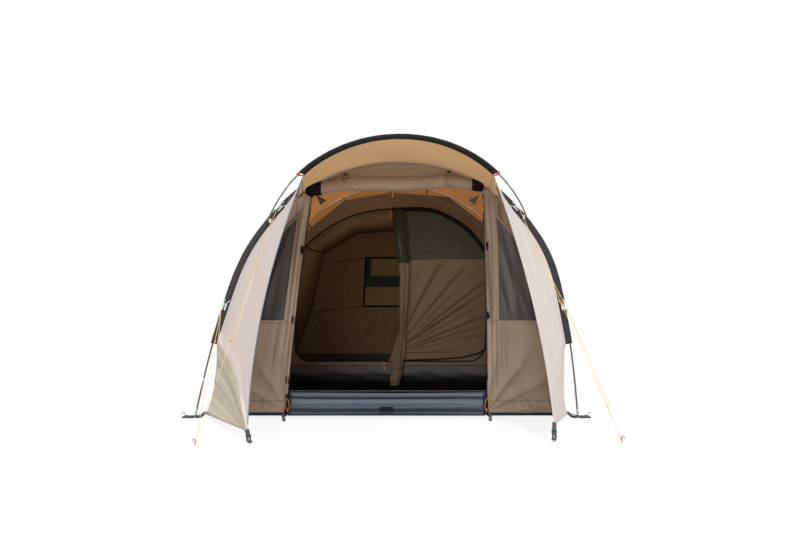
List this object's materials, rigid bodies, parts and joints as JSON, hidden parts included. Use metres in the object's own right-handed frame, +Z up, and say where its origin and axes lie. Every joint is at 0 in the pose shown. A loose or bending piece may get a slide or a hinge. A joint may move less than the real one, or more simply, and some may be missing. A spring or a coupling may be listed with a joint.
{
  "type": "tunnel tent",
  "caption": "Small polycotton tunnel tent, pitched with its door rolled up, side wings and canopy pegged out in front, and a sleeping cabin with a tub floor inside.",
  "frame": {"origin": "on the ground, in the middle of the tent's bounding box without its guylines and their pegs", "axes": "+Z up; the front with the door faces -Y and the length runs along Y; +X is to the right for someone who stands in front and looks in"},
  "size_m": [2.782, 5.2663, 1.815],
  "materials": {
    "pole": "satin glass fibre tube",
    "sleeve": "black woven cloth",
    "roof": "tan polycotton with light coming through",
    "wing": "pale polycotton",
    "wall": "taupe polycotton",
    "fly": "pale polycotton",
    "window": "smoked soft film",
    "sill": "satin coated cloth",
    "cabin": "brown breathable cloth",
    "mesh": "fine netting",
    "tub": "coated groundsheet cloth",
    "black": "moulded",
    "orange": "moulded pull with cord",
    "line": "braided cord",
    "webbing": "woven webbing",
    "steel": "zinc-coated wire"
  },
  "bodies": {
    "tent": {"front_arch_pole": "pole", "middle_arch_pole": "pole", "rear_arch_pole": "pole", "front_sleeve": "sleeve", "middle_sleeve": "sleeve", "rear_sleeve": "sleeve", "canopy_roof": "roof", "canopy_fitting_left": "webbing", "canopy_fitting_right": "webbing", "wing_left": "wing", "wing_right": "wing", "fly_living": "fly", "fly_sleeping": "fly", "fly_rear_end": "fly", "front_wall_left": "wall", "front_wall_right": "wall", "front_wall_header": "wall", "window_left": "window", "window_right": "window", "door_roll": "wall", "roll_tie_left": "webbing", "roll_tie_right": "webbing", "living_floor": "tub", "cabin_tub": "tub", "cabin_body": "cabin", "cabin_front_wall": "cabin", "cabin_back_wall": "cabin", "cabin_back_window": "mesh", "cabin_door_cloth": "cabin", "cabin_door_mesh": "mesh", "cabin_door_gathered": "cabin", "guyline_left_upper": "line", "guyline_left_lower": "line", "guyline_right_upper": "line", "guyline_right_lower": "line", "guy_peg_left": "steel", "guy_peg_right": "steel", "wing_peg_left": "steel", "wing_peg_right": "steel", "foot_peg_left": "steel", "foot_peg_right": "steel", "wing_strap_left": "webbing", "wing_strap_right": "webbing", "foot_strap_left": "webbing", "foot_strap_right": "webbing"},
    "canopy": {"canopy_pole": "pole", "canopy_sleeve": "sleeve"},
    "door_sill": {"sill": "sill"},
    "left_door_zip_slider": {"door_slider_left": "orange"},
    "right_door_zip_slider": {"door_slider_right": "orange"},
    "low_cabin_zip_slider": {"cabin_slider_low": "orange"},
    "top_cabin_zip_slider": {"cabin_slider_top": "orange"},
    "left_roll_toggle": {"roll_toggle_left": "black"},
    "right_roll_toggle": {"roll_toggle_right": "black"},
    "left_upper_runner": {"runner_left_upper": "black"},
    "left_lower_runner": {"runner_left_lower": "black"},
    "right_upper_runner": {"runner_right_upper": "black"},
    "right_lower_runner": {"runner_right_lower": "black"},
    "left_wing_buckle": {"wing_buckle_left": "black"},
    "right_wing_buckle": {"wing_buckle_right": "black"}
  },
  "joints": [
    {"name": "canopy_lift", "type": "hinge", "parent": "tent", "child": "canopy", "pos_m": [0.06825, -1.56, 1.365], "axis": [-1, 0, 0], "range_deg": [0, 15], "deforming": ["canopy_roof", "wing_left", "wing_right"]},
    {"name": "sill_fold", "type": "hinge", "parent": "tent", "child": "door_sill", "pos_m": [0.0005, -1.53, 0.01], "axis": [1, 0, 0], "range_deg": [0, 88]},
    {"name": "left_door_zip", "type": "slide", "parent": "tent", "child": "left_door_zip_slider", "axis": [-0.119, 0, -0.9929], "range_m": [0, 1.26]},
    {"name": "right_door_zip", "type": "slide", "parent": "tent", "child": "right_door_zip_slider", "axis": [0.0198, 0, -0.9998], "range_m": [0, 1.26]},
    {"name": "low_cabin_zip", "type": "slide", "parent": "tent", "child": "low_cabin_zip_slider", "axis": [-1, 0, 0], "range_m": [0, 0.6]},
    {"name": "top_cabin_zip", "type": "hinge", "parent": "tent", "child": "top_cabin_zip_slider", "pos_m": [0.02825, -0.034, 0.565], "axis": [0, -1, 0], "range_deg": [0, 50]},
    {"name": "left_toggle_turn", "type": "hinge", "parent": "tent", "child": "left_roll_toggle", "pos_m": [-0.2674, -1.554, 1.652], "axis": [0, 1, 0], "range_deg": [0, 90]},
    {"name": "right_toggle_turn", "type": "hinge", "parent": "tent", "child": "right_roll_toggle", "pos_m": [0.4326, -1.554, 1.652], "axis": [0, 1, 0], "range_deg": [0, 90]},
    {"name": "left_upper_runner_slide", "type": "slide", "parent": "tent", "child": "left_upper_runner", "axis": [-0.1781, -0.6031, -0.7775], "range_m": [-0.3, 0.3]},
    {"name": "left_lower_runner_slide", "type": "slide", "parent": "tent", "child": "left_lower_runner", "axis": [0.0395, -0.8257, -0.5627], "range_m": [-0.2, 0.5]},
    {"name": "right_upper_runner_slide", "type": "slide", "parent": "tent", "child": "right_upper_runner", "axis": [0.2495, -0.5581, -0.7914], "range_m": [-0.3, 0.5]},
    {"name": "right_lower_runner_slide", "type": "slide", "parent": "tent", "child": "right_lower_runner", "axis": [0.109, -0.7954, -0.5963], "range_m": [-0.5, 0.08]},
    {"name": "left_buckle_slide", "type": "slide", "parent": "tent", "child": "left_wing_buckle", "axis": [0.2678, -0.7258, -0.6336], "range_m": [-0.02, 0.02]},
    {"name": "right_buckle_slide", "type": "slide", "parent": "tent", "child": "right_wing_buckle", "axis": [-0.1113, -0.5489, -0.8284], "range_m": [-0.025, 0.025]}
  ]
}
